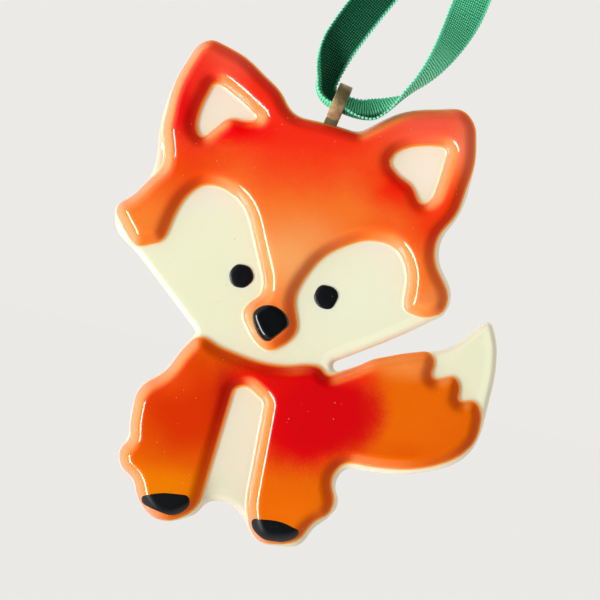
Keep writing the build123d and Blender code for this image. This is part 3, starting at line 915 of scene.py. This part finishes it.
cream = blend(nodes, maths(nodes, "MULTIPLY", line, front), cream, linear("#FFB266"))
left = attribute(nodes, "left")
# Painted light and shade on the base's rounded rim: a darker tint where it faces the window, a paler peach where it
# faces away.
edge = maths(nodes, "MULTIPLY", ramp(nodes, attribute(nodes, "rim"), 1.1, 0.4), 0.6)
rim_light_and_shade = blend(nodes, ramp(nodes, left, 0.0, 0.6), linear("#F8E8D0"), linear("#DCCDB8"))
cream = blend(nodes, maths(nodes, "MULTIPLY", edge, front), cream, rim_light_and_shade)
duller(nodes, shader, attribute(nodes, "rim"), left, front)
cream = seeded(nodes, drawing, cream, "#FFFFFF", "#8F7F58", 8.0, 0.35)
cream = blend(nodes, front, linear("#EAEACD"), cream)
cream_glass.node_tree.links.new(cream, shader.inputs["Base Color"])
ripple(nodes, drawing, shader, 0.1, maths(nodes, "SUBTRACT", 1.6, maths(nodes, "MULTIPLY", front, 1.6)))
base_glass.data.materials.append(cream_glass)
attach(base_glass, "ornament")
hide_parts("base_glass")


# Eyes
# Round chips of black glass, cut by hand and fused flush into the cream sheet.

EYE_CENTRES = {"left_eye": (240, 277), "right_eye": (325, 298)}
EYE_RADIUS = 2.25 * MM
EYE_DOME = 0.42 * MM


def make_eye(name, centre, seed):
    """Low dome with a slightly uneven rim and rings left by the cut."""
    x, z = on_figure(*centre)
    chance = np.random.default_rng(seed)
    wobble = chance.normal(0, 0.012, 5)
    phase = chance.uniform(0, 2 * math.pi, 5)
    verts, faces = [], []
    levels = [1.0, 1.0, 0.99, 0.95, 0.88, 0.78, 0.66, 0.53, 0.4, 0.27, 0.14]
    count = 72
    for level, share in enumerate(levels):
        for i in range(count):
            turn = 2 * math.pi * i / count
            reach = EYE_RADIUS * share * (1 + sum(w * math.cos((k + 2) * turn + p) for k, (w, p) in enumerate(zip(wobble, phase))))
            rise = EYE_DOME * math.sqrt(max(0, 1 - share ** 4)) if level > 1 else (-0.5 * MM if level == 0 else -0.02 * MM)
            verts.append((x + reach * math.cos(turn), -rise, z + reach * math.sin(turn)))
    verts += [(x, -EYE_DOME, z), (x, 0.5 * MM, z)]
    for level in range(len(levels) - 1):
        for i in range(count):
            j = (i + 1) % count
            a, b = level * count, (level + 1) * count
            faces.append((a + i, a + j, b + j, b + i))
    last = (len(levels) - 1) * count
    for i in range(count):
        j = (i + 1) % count
        faces.append((last + i, last + j, len(verts) - 2))
        faces.append((j, i, len(verts) - 1))
    mesh = bpy.data.meshes.new(name)
    mesh.from_pydata(verts, [], faces)
    mesh.update()
    mesh.shade_smooth()
    return new_object(name, mesh)


def black_material(name, **plain):
    made, nodes, shader = new_material(name, **plain)
    place = on_drawing(nodes)
    dull = add(nodes, "ShaderNodeTexNoise", {"Vector": place, "Scale": 0.12, "Detail": 3.0})
    colour = blend(nodes, dull.outputs[0], linear("#07080A"), linear("#131619"))
    colour = seeded(nodes, place, colour, "#A9B2B8", "#6B3A20", 5.0, 0.5)
    made.node_tree.links.new(colour, shader.inputs["Base Color"])
    return made, nodes, shader, place


black_chip, nodes, shader, drawing = black_material("black glass chip", Roughness=0.3)
rings = add(nodes, "ShaderNodeTexNoise", {"Vector": drawing, "Scale": 0.32, "Detail": 2.0, "Distortion": 1.2})
lift = add(nodes, "ShaderNodeBump", {"Height": rings.outputs[0], "Strength": 0.35, "Distance": 0.15 * MM})
black_chip.node_tree.links.new(lift.outputs[0], shader.inputs["Normal"])
for number, (name, centre) in enumerate(EYE_CENTRES.items()):
    eye = make_eye(name + "_chip", centre, number + 5)
    eye.data.materials.append(black_chip)
    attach(eye, "ornament")
    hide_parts(name)


# Head sheet
# Orange glass sheet with both ears, the brow, the bridge and the cheeks, airbrushed red.
# It is fused onto the cream sheet, so its edges slump into a rounded rim of bare orange glass.

RIM_WIDTH = 2.8 * MM
SHEET_RISE = 2.72 * MM
SHEET_CROWN = 0.26 * MM
CROWN_WIDTH = 6 * MM
SHEET_BACK = 0.3 * MM


def slump(inside, width):
    """Rise of a sheet's melted edge over a width, steepest at its foot, and how fast it rises."""
    u = np.clip(inside / width, 0, 1)
    return u * (2 - u), 2 * (1 - u) / width


def sheet_surface(sheet):
    def surface(at):
        inside = sheet.read(sheet.inside, at)
        rise, steep = slump(inside, RIM_WIDTH)
        crown, crown_steep = shoulder(inside, CROWN_WIDTH)
        height = SHEET_RISE * rise + SHEET_CROWN * crown
        slope = (SHEET_RISE * steep + SHEET_CROWN * crown_steep)[:, None] * sheet.read(sheet.slope, at)
        return height, slope
    return surface


def sheet_points(sheet):
    points = np.vstack([
        ring_points(sheet, sheet.loops, [k * MM for k in (0.06, 0.2, 0.4, 0.65, 0.95, 1.25, 1.55, 1.85, 2.1, 2.35, 2.6, 2.85, 3.2)], -1),
        hex_points(sheet.low, np.array([46 * MM, -72 * MM]), GRID_STEP),
    ])
    points = points[sheet.read(sheet.inside, points) > 0.03 * MM]
    return thin_out(points, 0, 0.2 * MM)


def overlay_material(name, ground, touches, bare_width):
    """Orange glass, airbrushed red, with light and shade painted on its slopes: unpainted and paler towards the top
    where they face the window, a darker red where they face away.
    """
    made, nodes, shader = new_material(
        name, Roughness=0.3, Specular_IOR_Level=0.0, Coat_Weight=1.0, Coat_Roughness=0.03, Coat_IOR=1.7,
        Subsurface_Weight=0.35, Subsurface_Scale=1.0 * MM,
    )
    shader.inputs["Subsurface Radius"].default_value = (1.0, 0.3, 0.08)
    place = on_drawing(nodes)
    painted = spots(nodes, place, linear(ground), touches)
    rim = attribute(nodes, "rim")
    left = attribute(nodes, "left")
    # Painted shade: slopes that face away from the window are darkened towards a deep red.
    painted_shade = maths(nodes, "MULTIPLY", ramp(nodes, left, 0.1, -0.8), ramp(nodes, rim, 2.4, 1.1))
    painted = blend(nodes, maths(nodes, "MULTIPLY", painted_shade, 0.5), painted, linear("#B81600"))
    # Painted light: slopes that face the window keep the unpainted glass colour, paler and pinker higher up; the thin
    # foot of every slope stays unpainted.
    facing = ramp(nodes, left, -0.3, 0.85)
    bare_and_painted_light = maths(nodes, "MULTIPLY", ramp(nodes, rim, bare_width + 0.4, bare_width - 0.5), facing)
    bare_and_painted_light = maths(nodes, "MAXIMUM", bare_and_painted_light, ramp(nodes, rim, 0.6, 0.15))
    orange_with_painted_light = blend(nodes, maths(nodes, "MULTIPLY", ramp(nodes, rim, 1.9, 0.5), facing), linear("#FF8A1C"), linear("#F88F5E"))
    duller(nodes, shader, rim, left)
    colour = blend(nodes, bare_and_painted_light, painted, orange_with_painted_light)
    colour = seeded(nodes, place, colour, "#FFC48A", "#B31208", 6.5, 0.4)
    made.node_tree.links.new(colour, shader.inputs["Base Color"])
    ripple(nodes, place, shader, 0.09)
    return made


head_glass = overlay_material(
    "head glass", "#FE7A2B",
    [
        (285, 262, 90, 66, 1.0, 1.0, "#FFAA64"),
        (300, 105, 215, 112, 0.7, 1.0, "#FD2E17"),
        (330, 165, 120, 50, 1.0, 0.5, "#FE3414"),
        (180, 165, 75, 60, 1.0, 0.85, "#F04304"),
        (195, 95, 62, 85, 0.7, 0.9, "#F32A1E"),
        # Painted reflection: this touch and the next two lay a paler, pinkish red over the ears.
        (232, 62, 40, 45, 1.0, 0.7, "#FF5A42"),
        (440, 130, 85, 55, 0.8, 0.9, "#FF5F45"),
        (468, 150, 24, 55, 1.0, 0.8, "#FF835C"),
        (438, 215, 66, 62, 0.8, 0.95, "#FC3A0C"),
        (396, 188, 58, 40, 0.9, 0.95, "#FA1804"),
        (385, 226, 40, 22, 1.0, 0.6, "#FD5A1A"),
        (238, 133, 52, 20, 0.9, 0.95, "#FB030C"),
        (182, 110, 16, 44, 0.9, 0.8, "#E2040C"),
        (428, 310, 46, 34, 0.9, 0.9, "#FF904C"),
        (140, 230, 46, 40, 0.9, 0.9, "#FE8530"),
        (376, 184, 15, 12, 0.8, 0.2, "#FF6A1A"),
    ],
    1.7,
)
head_sheet = glass_mesh(
    "head_sheet", head_shape, sheet_points(head_shape), sheet_surface(head_shape), SHEET_BACK,
    edge_marks(head_shape),
)
head_sheet.data.materials.append(head_glass)
head_sheet.visible_shadow = False
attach(head_sheet, "ornament")
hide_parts("head_overlay")


# Nose
# Cut piece of black glass, laid on the bridge's end and melted to a glossy dome.

NOSE_PROUD = 0.55 * MM
NOSE_ROUND = 1.3 * MM


def inlay_surface(shape, sheet, proud, width):
    under = sheet_surface(sheet)

    def surface(at):
        height, slope = under(at)
        rise, steep = shoulder(shape.read(shape.inside, at), width)
        return height + proud * rise, slope + (proud * steep)[:, None] * shape.read(shape.slope, at)
    return surface


def inlay(name, node, depth, sheet, proud, width, material):
    """Black piece that follows the sheet it lies in."""
    shape = Shape(outlines(node, depth), 0.2 * MM)
    points = np.vstack([
        ring_points(shape, shape.loops, [k * MM for k in (0.06, 0.16, 0.3, 0.5, 0.75, 1.0, 1.3)], -1),
        hex_points(shape.low, np.array([46 * MM, -72 * MM]), 0.45 * MM),
    ])
    points = points[shape.read(shape.inside, points) > 0.04 * MM]
    made = glass_mesh(
        name, shape, thin_out(points, 0, 0.18 * MM), inlay_surface(shape, sheet, proud, width), 0.2 * MM,
        edge_marks(shape),
    )
    made.data.materials.append(material)
    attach(made, "ornament")
    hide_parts(node)
    return made


black_melt, nodes, shader, drawing = black_material("black glass melted smooth", Roughness=0.06)
ripple(nodes, drawing, shader, 0.12)
nose = inlay("nose_dome", "nose", -3.05 * MM, head_shape, NOSE_PROUD, NOSE_ROUND, black_melt)
nose.visible_shadow = False


# Body sheet
# Orange glass sheet from the shoulder to both feet and along the tail, airbrushed red at the middle.
# It is fused on as the head's sheet is, round a slot that leaves the cream chest bare.

body_glass = overlay_material(
    "body glass", "#F06E05",
    [
        (190, 405, 95, 92, 0.8, 0.95, "#DB3002"),
        (172, 380, 44, 30, 1.0, 0.6, "#F2520F"),
        (160, 490, 70, 36, 0.9, 1.0, "#F58400"),
        (305, 405, 95, 85, 0.5, 1.0, "#E2060D"),
        (330, 415, 68, 48, 0.5, 0.8, "#D9070E"),
        (258, 380, 50, 30, 0.9, 0.9, "#E3120A"),
        (226, 400, 20, 60, 0.9, 0.7, "#BE040B"),
        (355, 378, 34, 16, 1.0, 0.6, "#FA3409"),
        (288, 526, 60, 44, 0.9, 1.0, "#FA7608"),
        # Painted light: a paler orange along the top of the tail.
        (408, 366, 52, 22, 0.9, 0.85, "#FF9445"),
        (460, 440, 50, 40, 1.0, 0.4, "#E46206"),
        # Painted shade: a darker orange along the underside of the tail.
        (400, 456, 60, 24, 1.0, 0.6, "#E65802"),
    ],
    1.9,
)
body_sheet = glass_mesh(
    "body_sheet", body_shape, sheet_points(body_shape), sheet_surface(body_shape), SHEET_BACK,
    edge_marks(body_shape),
)
body_sheet.data.materials.append(body_glass)
body_sheet.visible_shadow = False
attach(body_sheet, "ornament")
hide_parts("body_overlay")


# Toes
# Two chips of the same black glass, melted flush into the ends of the legs.

TOE_PROUD = 0.06 * MM
TOE_ROUND = 0.5 * MM
black_toe, nodes, shader, drawing = black_material("black glass toes", Roughness=0.42, Specular_IOR_Level=0.25)
ripple(nodes, drawing, shader, 0.12)
for side in ("left", "right"):
    inlay(side + "_toe_chip", side + "_toes", -3.02 * MM, body_shape, TOE_PROUD, TOE_ROUND, black_toe)


# Metal loop
# One flat strip of dull metal, bent into a ring with its two ends laid together.
# The ends are fused between the glass sheets; the kiln has left it scuffed and browned.

STRIP_WIDTH = 2.5
STRIP_THICKNESS = 0.3
STRIP_CORNER = 0.1
RING_BEND = 2.8
RING_LEAN = math.radians(9.5)
STRIP_FOOT = 11.9
LEG_APART = 0.2


def arc(centre, radius, start, end, steps):
    turns = np.radians(np.linspace(start, end, steps))
    return [(centre[0] + radius * math.cos(t), centre[1] + radius * math.sin(t)) for t in turns]


def strip_line():
    """The strip's middle line in its own plane, as y and z in millimetres."""
    neck = arc((-1.2, -4.292), 1.0, 0, 42.9, 9)
    up = [(-LEG_APART, -STRIP_FOOT), (-LEG_APART, -9), (-LEG_APART, -6), *neck]
    crown = arc((0, 0), RING_BEND, 222.9, -42.9, 64)
    return np.array(up + crown + [(-y, z) for y, z in reversed(up)])


def strip_mesh():
    line = strip_line()
    along = unit(np.gradient(line, axis=0))
    out = np.column_stack([-along[:, 1], along[:, 0]])
    half_width, half_thick = STRIP_WIDTH / 2, STRIP_THICKNESS / 2
    section = []
    for corner_x, corner_t, start in ((1, 1, 0), (-1, 1, 90), (-1, -1, 180), (1, -1, 270)):
        middle = (corner_x * (half_width - STRIP_CORNER), corner_t * (half_thick - STRIP_CORNER))
        section += arc(middle, STRIP_CORNER, start, start + 90, 4)
    made = bmesh.new()
    layer = made.loops.layers.uv.new("strip")
    reach = lengths_along(np.column_stack([line, np.zeros(len(line))]))
    girth = lengths_along(np.column_stack([np.array(section + section[:1]), np.zeros(len(section) + 1)]))
    rows = []
    for (y, z), (out_y, out_z) in zip(line, out):
        rows.append([made.verts.new((x, y + t * out_y, z + t * out_z)) for x, t in section])
    count = len(section)
    for i in range(len(rows) - 1):
        for j in range(count):
            k = (j + 1) % count
            face = made.faces.new((rows[i][j], rows[i + 1][j], rows[i + 1][k], rows[i][k]))
            for loop, (row, step) in zip(face.loops, ((i, j), (i + 1, j), (i + 1, j + 1), (i, j + 1))):
                loop[layer].uv = (girth[step], reach[row])
    for row in (rows[0], rows[-1]):
        made.faces.new(row)
    bmesh.ops.recalc_face_normals(made, faces=made.faces)
    mesh = bpy.data.meshes.new("metal_strip")
    made.to_mesh(mesh)
    made.free()
    place = Matrix.Translation(RING_CENTRE) @ Matrix.Rotation(RING_LEAN, 4, "Y") @ Matrix.Scale(MM, 4)
    mesh.transform(place)
    mesh.shade_smooth()
    mesh.set_sharp_from_angle(angle=math.radians(40))
    return mesh


dull_metal, nodes, shader = new_material("dull browned metal", Metallic=0.8)
strip_place = add(nodes, "ShaderNodeUVMap", uv_map="strip").outputs[0]
drawn = add(nodes, "ShaderNodeMapping", {0: strip_place, "Scale": (9, 0.8, 1)}).outputs[0]
scratches = add(nodes, "ShaderNodeTexNoise", {"Vector": drawn, "Scale": 1.0, "Detail": 6.0, "Roughness": 0.7}).outputs[0]
tarnish = add(nodes, "ShaderNodeTexNoise", {"Vector": strip_place, "Scale": 0.5, "Detail": 4.0}).outputs[0]
pits = add(nodes, "ShaderNodeTexNoise", {"Vector": strip_place, "Scale": 5.0, "Detail": 3.0}).outputs[0]
metal = blend(nodes, ramp(nodes, tarnish, 0.3, 0.85), linear("#BBA77C"), linear("#7A6238"))
metal = blend(nodes, maths(nodes, "MULTIPLY", ramp(nodes, pits, 0.6, 0.72), 0.7), metal, linear("#4A3420"))
metal = blend(nodes, maths(nodes, "MULTIPLY", ramp(nodes, scratches, 0.6, 0.75), 0.5), metal, linear("#EFE8D8"))
dull_metal.node_tree.links.new(metal, shader.inputs["Base Color"])
rough = maths(nodes, "MULTIPLY_ADD", scratches, 0.3)
rough.node.inputs[2].default_value = 0.22
dull_metal.node_tree.links.new(rough, shader.inputs["Roughness"])
worn = maths(nodes, "SUBTRACT", scratches, maths(nodes, "MULTIPLY", ramp(nodes, pits, 0.58, 0.72), 0.6))
lift = add(nodes, "ShaderNodeBump", {"Height": worn, "Strength": 0.5, "Distance": 0.06 * MM})
dull_metal.node_tree.links.new(lift.outputs[0], shader.inputs["Normal"])
metal_strip = new_object("metal_strip", strip_mesh())
metal_strip.data.materials.append(dull_metal)
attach(metal_strip, "ornament")
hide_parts("hanging_loop")


# Knot
# The ribbon's two ends tied together: a wrap drawn tight on a slant, with two slant-cut tails.

KNOT_WIDTH, KNOT_HEIGHT, KNOT_DEPTH = 9.2, 7.2, 5.2
WRAP_SLANT = math.radians(24)
TAIL_LENGTH = 16.5
TAIL_SPREAD = math.radians(17)


def knot_lump():
    """Pleated bundle under the wrap: a rounded block with soft folds that run through it."""
    verts, faces, uvs = [], [], []
    rows, count = 40, 96
    for i in range(rows + 1):
        rise = i / rows
        swell = math.sin(math.pi * min(1, max(0, rise))) ** 0.35
        share = (0.66 - 0.1 * rise) + 0.34 * swell if 0 < i < rows else 0.5
        for j in range(count):
            turn = 2 * math.pi * j / count
            fold = 1 + 0.035 * math.sin(7 * turn + 2.2 * rise) + 0.02 * math.sin(12 * turn - 3 * rise)
            lobe = (abs(math.cos(turn)) ** 2.6 + abs(math.sin(turn)) ** 2.6) ** (-1 / 2.6)
            x = KNOT_WIDTH / 2 * share * fold * lobe * math.cos(turn)
            y = KNOT_DEPTH / 2 * share * fold * lobe * math.sin(turn)
            verts.append((x * MM, y * MM, KNOT_HEIGHT * rise * MM))
    for i in range(rows):
        for j in range(count):
            k = (j + 1) % count
            faces.append((i * count + j, i * count + k, (i + 1) * count + k, (i + 1) * count + j))
            uvs += [(v * 0.24, u * 0.2) for u, v in ((i, j), (i, j + 1), (i + 1, j + 1), (i + 1, j))]
    for i, turn in ((0, -1), (rows, 1)):
        first = i * count
        verts.append((0, 0, KNOT_HEIGHT * (i / rows) * MM))
        for j in range(count):
            ring = [first + j, first + (j + 1) % count, len(verts) - 1]
            faces.append(tuple(ring[::turn]))
            uvs += [(j * 0.24, i * 0.2)] * 3
    mesh = bpy.data.meshes.new("knot_bundle")
    mesh.from_pydata(verts, [], faces)
    mesh.uv_layers.new(name="weave").data.foreach_set("uv", np.array(uvs, dtype=np.float32).ravel())
    mesh.update()
    mesh.shade_smooth()
    return mesh


def wrap_line():
    """Closed turn of ribbon round the bundle, on a slant."""
    turns = np.linspace(0, 2 * math.pi, 160)
    lobe = (np.abs(np.cos(turns)) ** 2.4 + np.abs(np.sin(turns)) ** 2.4) ** (-1 / 2.4)
    x = np.zeros_like(turns)
    y = (KNOT_DEPTH / 2 + 0.12) * lobe * np.cos(turns)
    z = (KNOT_HEIGHT / 2 + 0.1) * lobe * np.sin(turns)
    line = np.column_stack([x, y, z])
    slant = np.array(Matrix.Rotation(WRAP_SLANT, 3, "Y"))
    return (line @ slant.T + (0, 0, KNOT_HEIGHT / 2)) * MM


def tail_line(side):
    """A tail's middle line: out of the knot's top, a little bowed."""
    steps = np.linspace(0, 1, 50)
    lean = side * TAIL_SPREAD
    x = math.sin(lean) * TAIL_LENGTH * steps
    z = KNOT_HEIGHT - 2 + math.cos(lean) * TAIL_LENGTH * steps
    y = side * (0.35 + 0.9 * np.sin(math.pi * steps * 0.9))
    return np.column_stack([x, y, z]) * MM


def cut_on_slant(mesh, side):
    """The tail's end, cut across at an angle."""
    end = Vector((math.sin(side * TAIL_SPREAD), 0, math.cos(side * TAIL_SPREAD))) * (TAIL_LENGTH - 2.6) * MM
    end.z += (KNOT_HEIGHT - 2) * MM
    slant = Matrix.Rotation(side * (TAIL_SPREAD + math.radians(33)), 3, "Y") @ Vector((0, 0, 1))
    shape = bmesh.new()
    shape.from_mesh(mesh)
    cut = bmesh.ops.bisect_plane(
        shape, geom=shape.verts[:] + shape.edges[:] + shape.faces[:], plane_co=end, plane_no=slant, clear_outer=True
    )
    open_edges = [item for item in cut["geom_cut"] if isinstance(item, bmesh.types.BMEdge)]
    bmesh.ops.edgenet_fill(shape, edges=open_edges)
    bmesh.ops.triangulate(shape, faces=[face for face in shape.faces if len(face.verts) > 4])
    shape.to_mesh(mesh)
    shape.free()


knot_satin = satin_material("knot satin")
bundle = new_object("knot_bundle", knot_lump())
wrap_path = wrap_line()
wrap_centre = np.array([0, 0, KNOT_HEIGHT / 2 * MM])
wrap_mesh, wrap_hems = band_mesh(
    "knot_wrap", wrap_path, wrap_centre - wrap_path, np.full(160, 9 * MM), 4.8 * MM, 0.34 * MM, SELVEDGE_SWELL
)
knot_pieces = [bundle, new_object("knot_wrap", wrap_mesh)]
for side, label in ((-1, "left"), (1, "right")):
    path = tail_line(side)
    facing = np.tile((0.0, -1.0, 0.0), (len(path), 1))
    tail, _ = band_mesh(
        "knot_tail", path, facing, np.full(len(path), side * -14 * MM), RIBBON_WIDTH, RIBBON_THICKNESS, SELVEDGE_SWELL
    )
    cut_on_slant(tail, side)
    knot_pieces.append(new_object("knot_tail_" + label, tail))
for piece in knot_pieces:
    piece.data.materials.append(knot_satin)
    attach(piece, "ribbon")
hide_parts("ribbon_knot")
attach(ribbon, "ribbon")
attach(ribbon_stitches, "ribbon")
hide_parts("ribbon")


# Floor and light
# A plain pale floor under the hanging figure, a tall window light at its left and soft light all round.

def pale_to_camera(nodes, lit, share, mirrored):
    """A surface or world as it is lit, with a share of plain pale colour where it is seen or mirrored."""
    ray = add(nodes, "ShaderNodeLightPath").outputs
    seen = maths(nodes, "MAXIMUM", ray["Is Camera Ray"], ray["Is Transmission Ray"])
    seen = maths(nodes, "MAXIMUM", seen, maths(nodes, "MULTIPLY", ray["Is Glossy Ray"], mirrored))
    pale = add(nodes, "ShaderNodeEmission", {0: linear("#ECEAE7"), 1: 1.0})
    return add(nodes, "ShaderNodeMixShader", {0: maths(nodes, "MULTIPLY", seen, share), 1: lit, 2: pale.outputs[0]}).outputs[0]


floor_mesh = bpy.data.meshes.new("floor")
floor_mesh.from_pydata([(-4, -0.02, -0.19), (4, -0.02, -0.19), (4, 6, -0.19), (-4, 6, -0.19)], [], [(0, 1, 2, 3)])
floor = new_object("floor", floor_mesh)
pale_floor, nodes, shader = new_material("pale floor", Roughness=0.8, Specular_IOR_Level=0.2)
shader.inputs["Base Color"].default_value = linear("#E6E3DF")
mixed = pale_to_camera(nodes, shader.outputs[0], 0.96, 1.0)
pale_floor.node_tree.links.new(mixed, nodes["Material Output"].inputs[0])
floor.data.materials.append(pale_floor)

FRONT_LIGHT = 0.02
LEFT_LIGHT = 1.0
RIGHT_LIGHT = 0.88
LEFT_GLOSS = 0.7
RIGHT_GLOSS = 0.04
world = bpy.data.worlds.new("soft room")
world.use_nodes = True
bpy.context.scene.world = world
nodes = world.node_tree.nodes
nodes.clear()
way = add(nodes, "ShaderNodeTexCoord").outputs["Generated"]
facing = add(nodes, "ShaderNodeVectorMath", {0: way, 1: (0, -1, 0)}, operation="DOT_PRODUCT").outputs["Value"]
to_left = camera.rotation_quaternion @ Vector((-1, 0, 0))
leftward = add(nodes, "ShaderNodeVectorMath", {0: way, 1: to_left}, operation="DOT_PRODUCT").outputs["Value"]
side = add(nodes, "ShaderNodeMapRange", {0: leftward, 1: -0.2, 2: 0.75, 3: RIGHT_LIGHT, 4: LEFT_LIGHT}).outputs[0]
gloss = add(nodes, "ShaderNodeMapRange", {0: leftward, 1: 0.0, 2: 0.75, 3: RIGHT_GLOSS, 4: LEFT_GLOSS}).outputs[0]
mirrored = add(nodes, "ShaderNodeLightPath").outputs["Is Glossy Ray"]
side = add(nodes, "ShaderNodeMix", {0: mirrored, 2: side, 3: gloss}, data_type="FLOAT").outputs[0]
level = maths(nodes, "MULTIPLY", side, ramp(nodes, facing, 0.96, 0.6))
level = maths(nodes, "MAXIMUM", level, FRONT_LIGHT)
lit = add(nodes, "ShaderNodeBackground", {0: (1, 1, 1, 1), 1: level}).outputs[0]
behind = ramp(nodes, facing, 0.1, -0.1)
add(nodes, "ShaderNodeOutputWorld", {0: pale_to_camera(nodes, lit, 1.0, behind)})


def area_light(name, right, up, back, width, height, power, colour=(1, 1, 1)):
    """A softbox placed from the figure's middle along the photograph's own directions."""
    turn = camera.rotation_quaternion
    offset = turn @ Vector((right, up, back))
    data = bpy.data.lights.new(name, "AREA")
    data.shape = "RECTANGLE"
    data.size, data.size_y = width, height
    data.energy = power
    data.color = colour
    lamp = bpy.data.objects.new(name, data)
    bpy.context.scene.collection.objects.link(lamp)
    lamp.location = look_at + offset
    lamp.rotation_mode = "QUATERNION"
    facing = offset.to_track_quat("Z", "Y")
    lamp.rotation_quaternion = facing
    return lamp


area_light("window", -0.87, -0.25, 0.5, 0.28, 1.0, 12.6)
bpy.context.scene.view_settings.view_transform = "Standard"
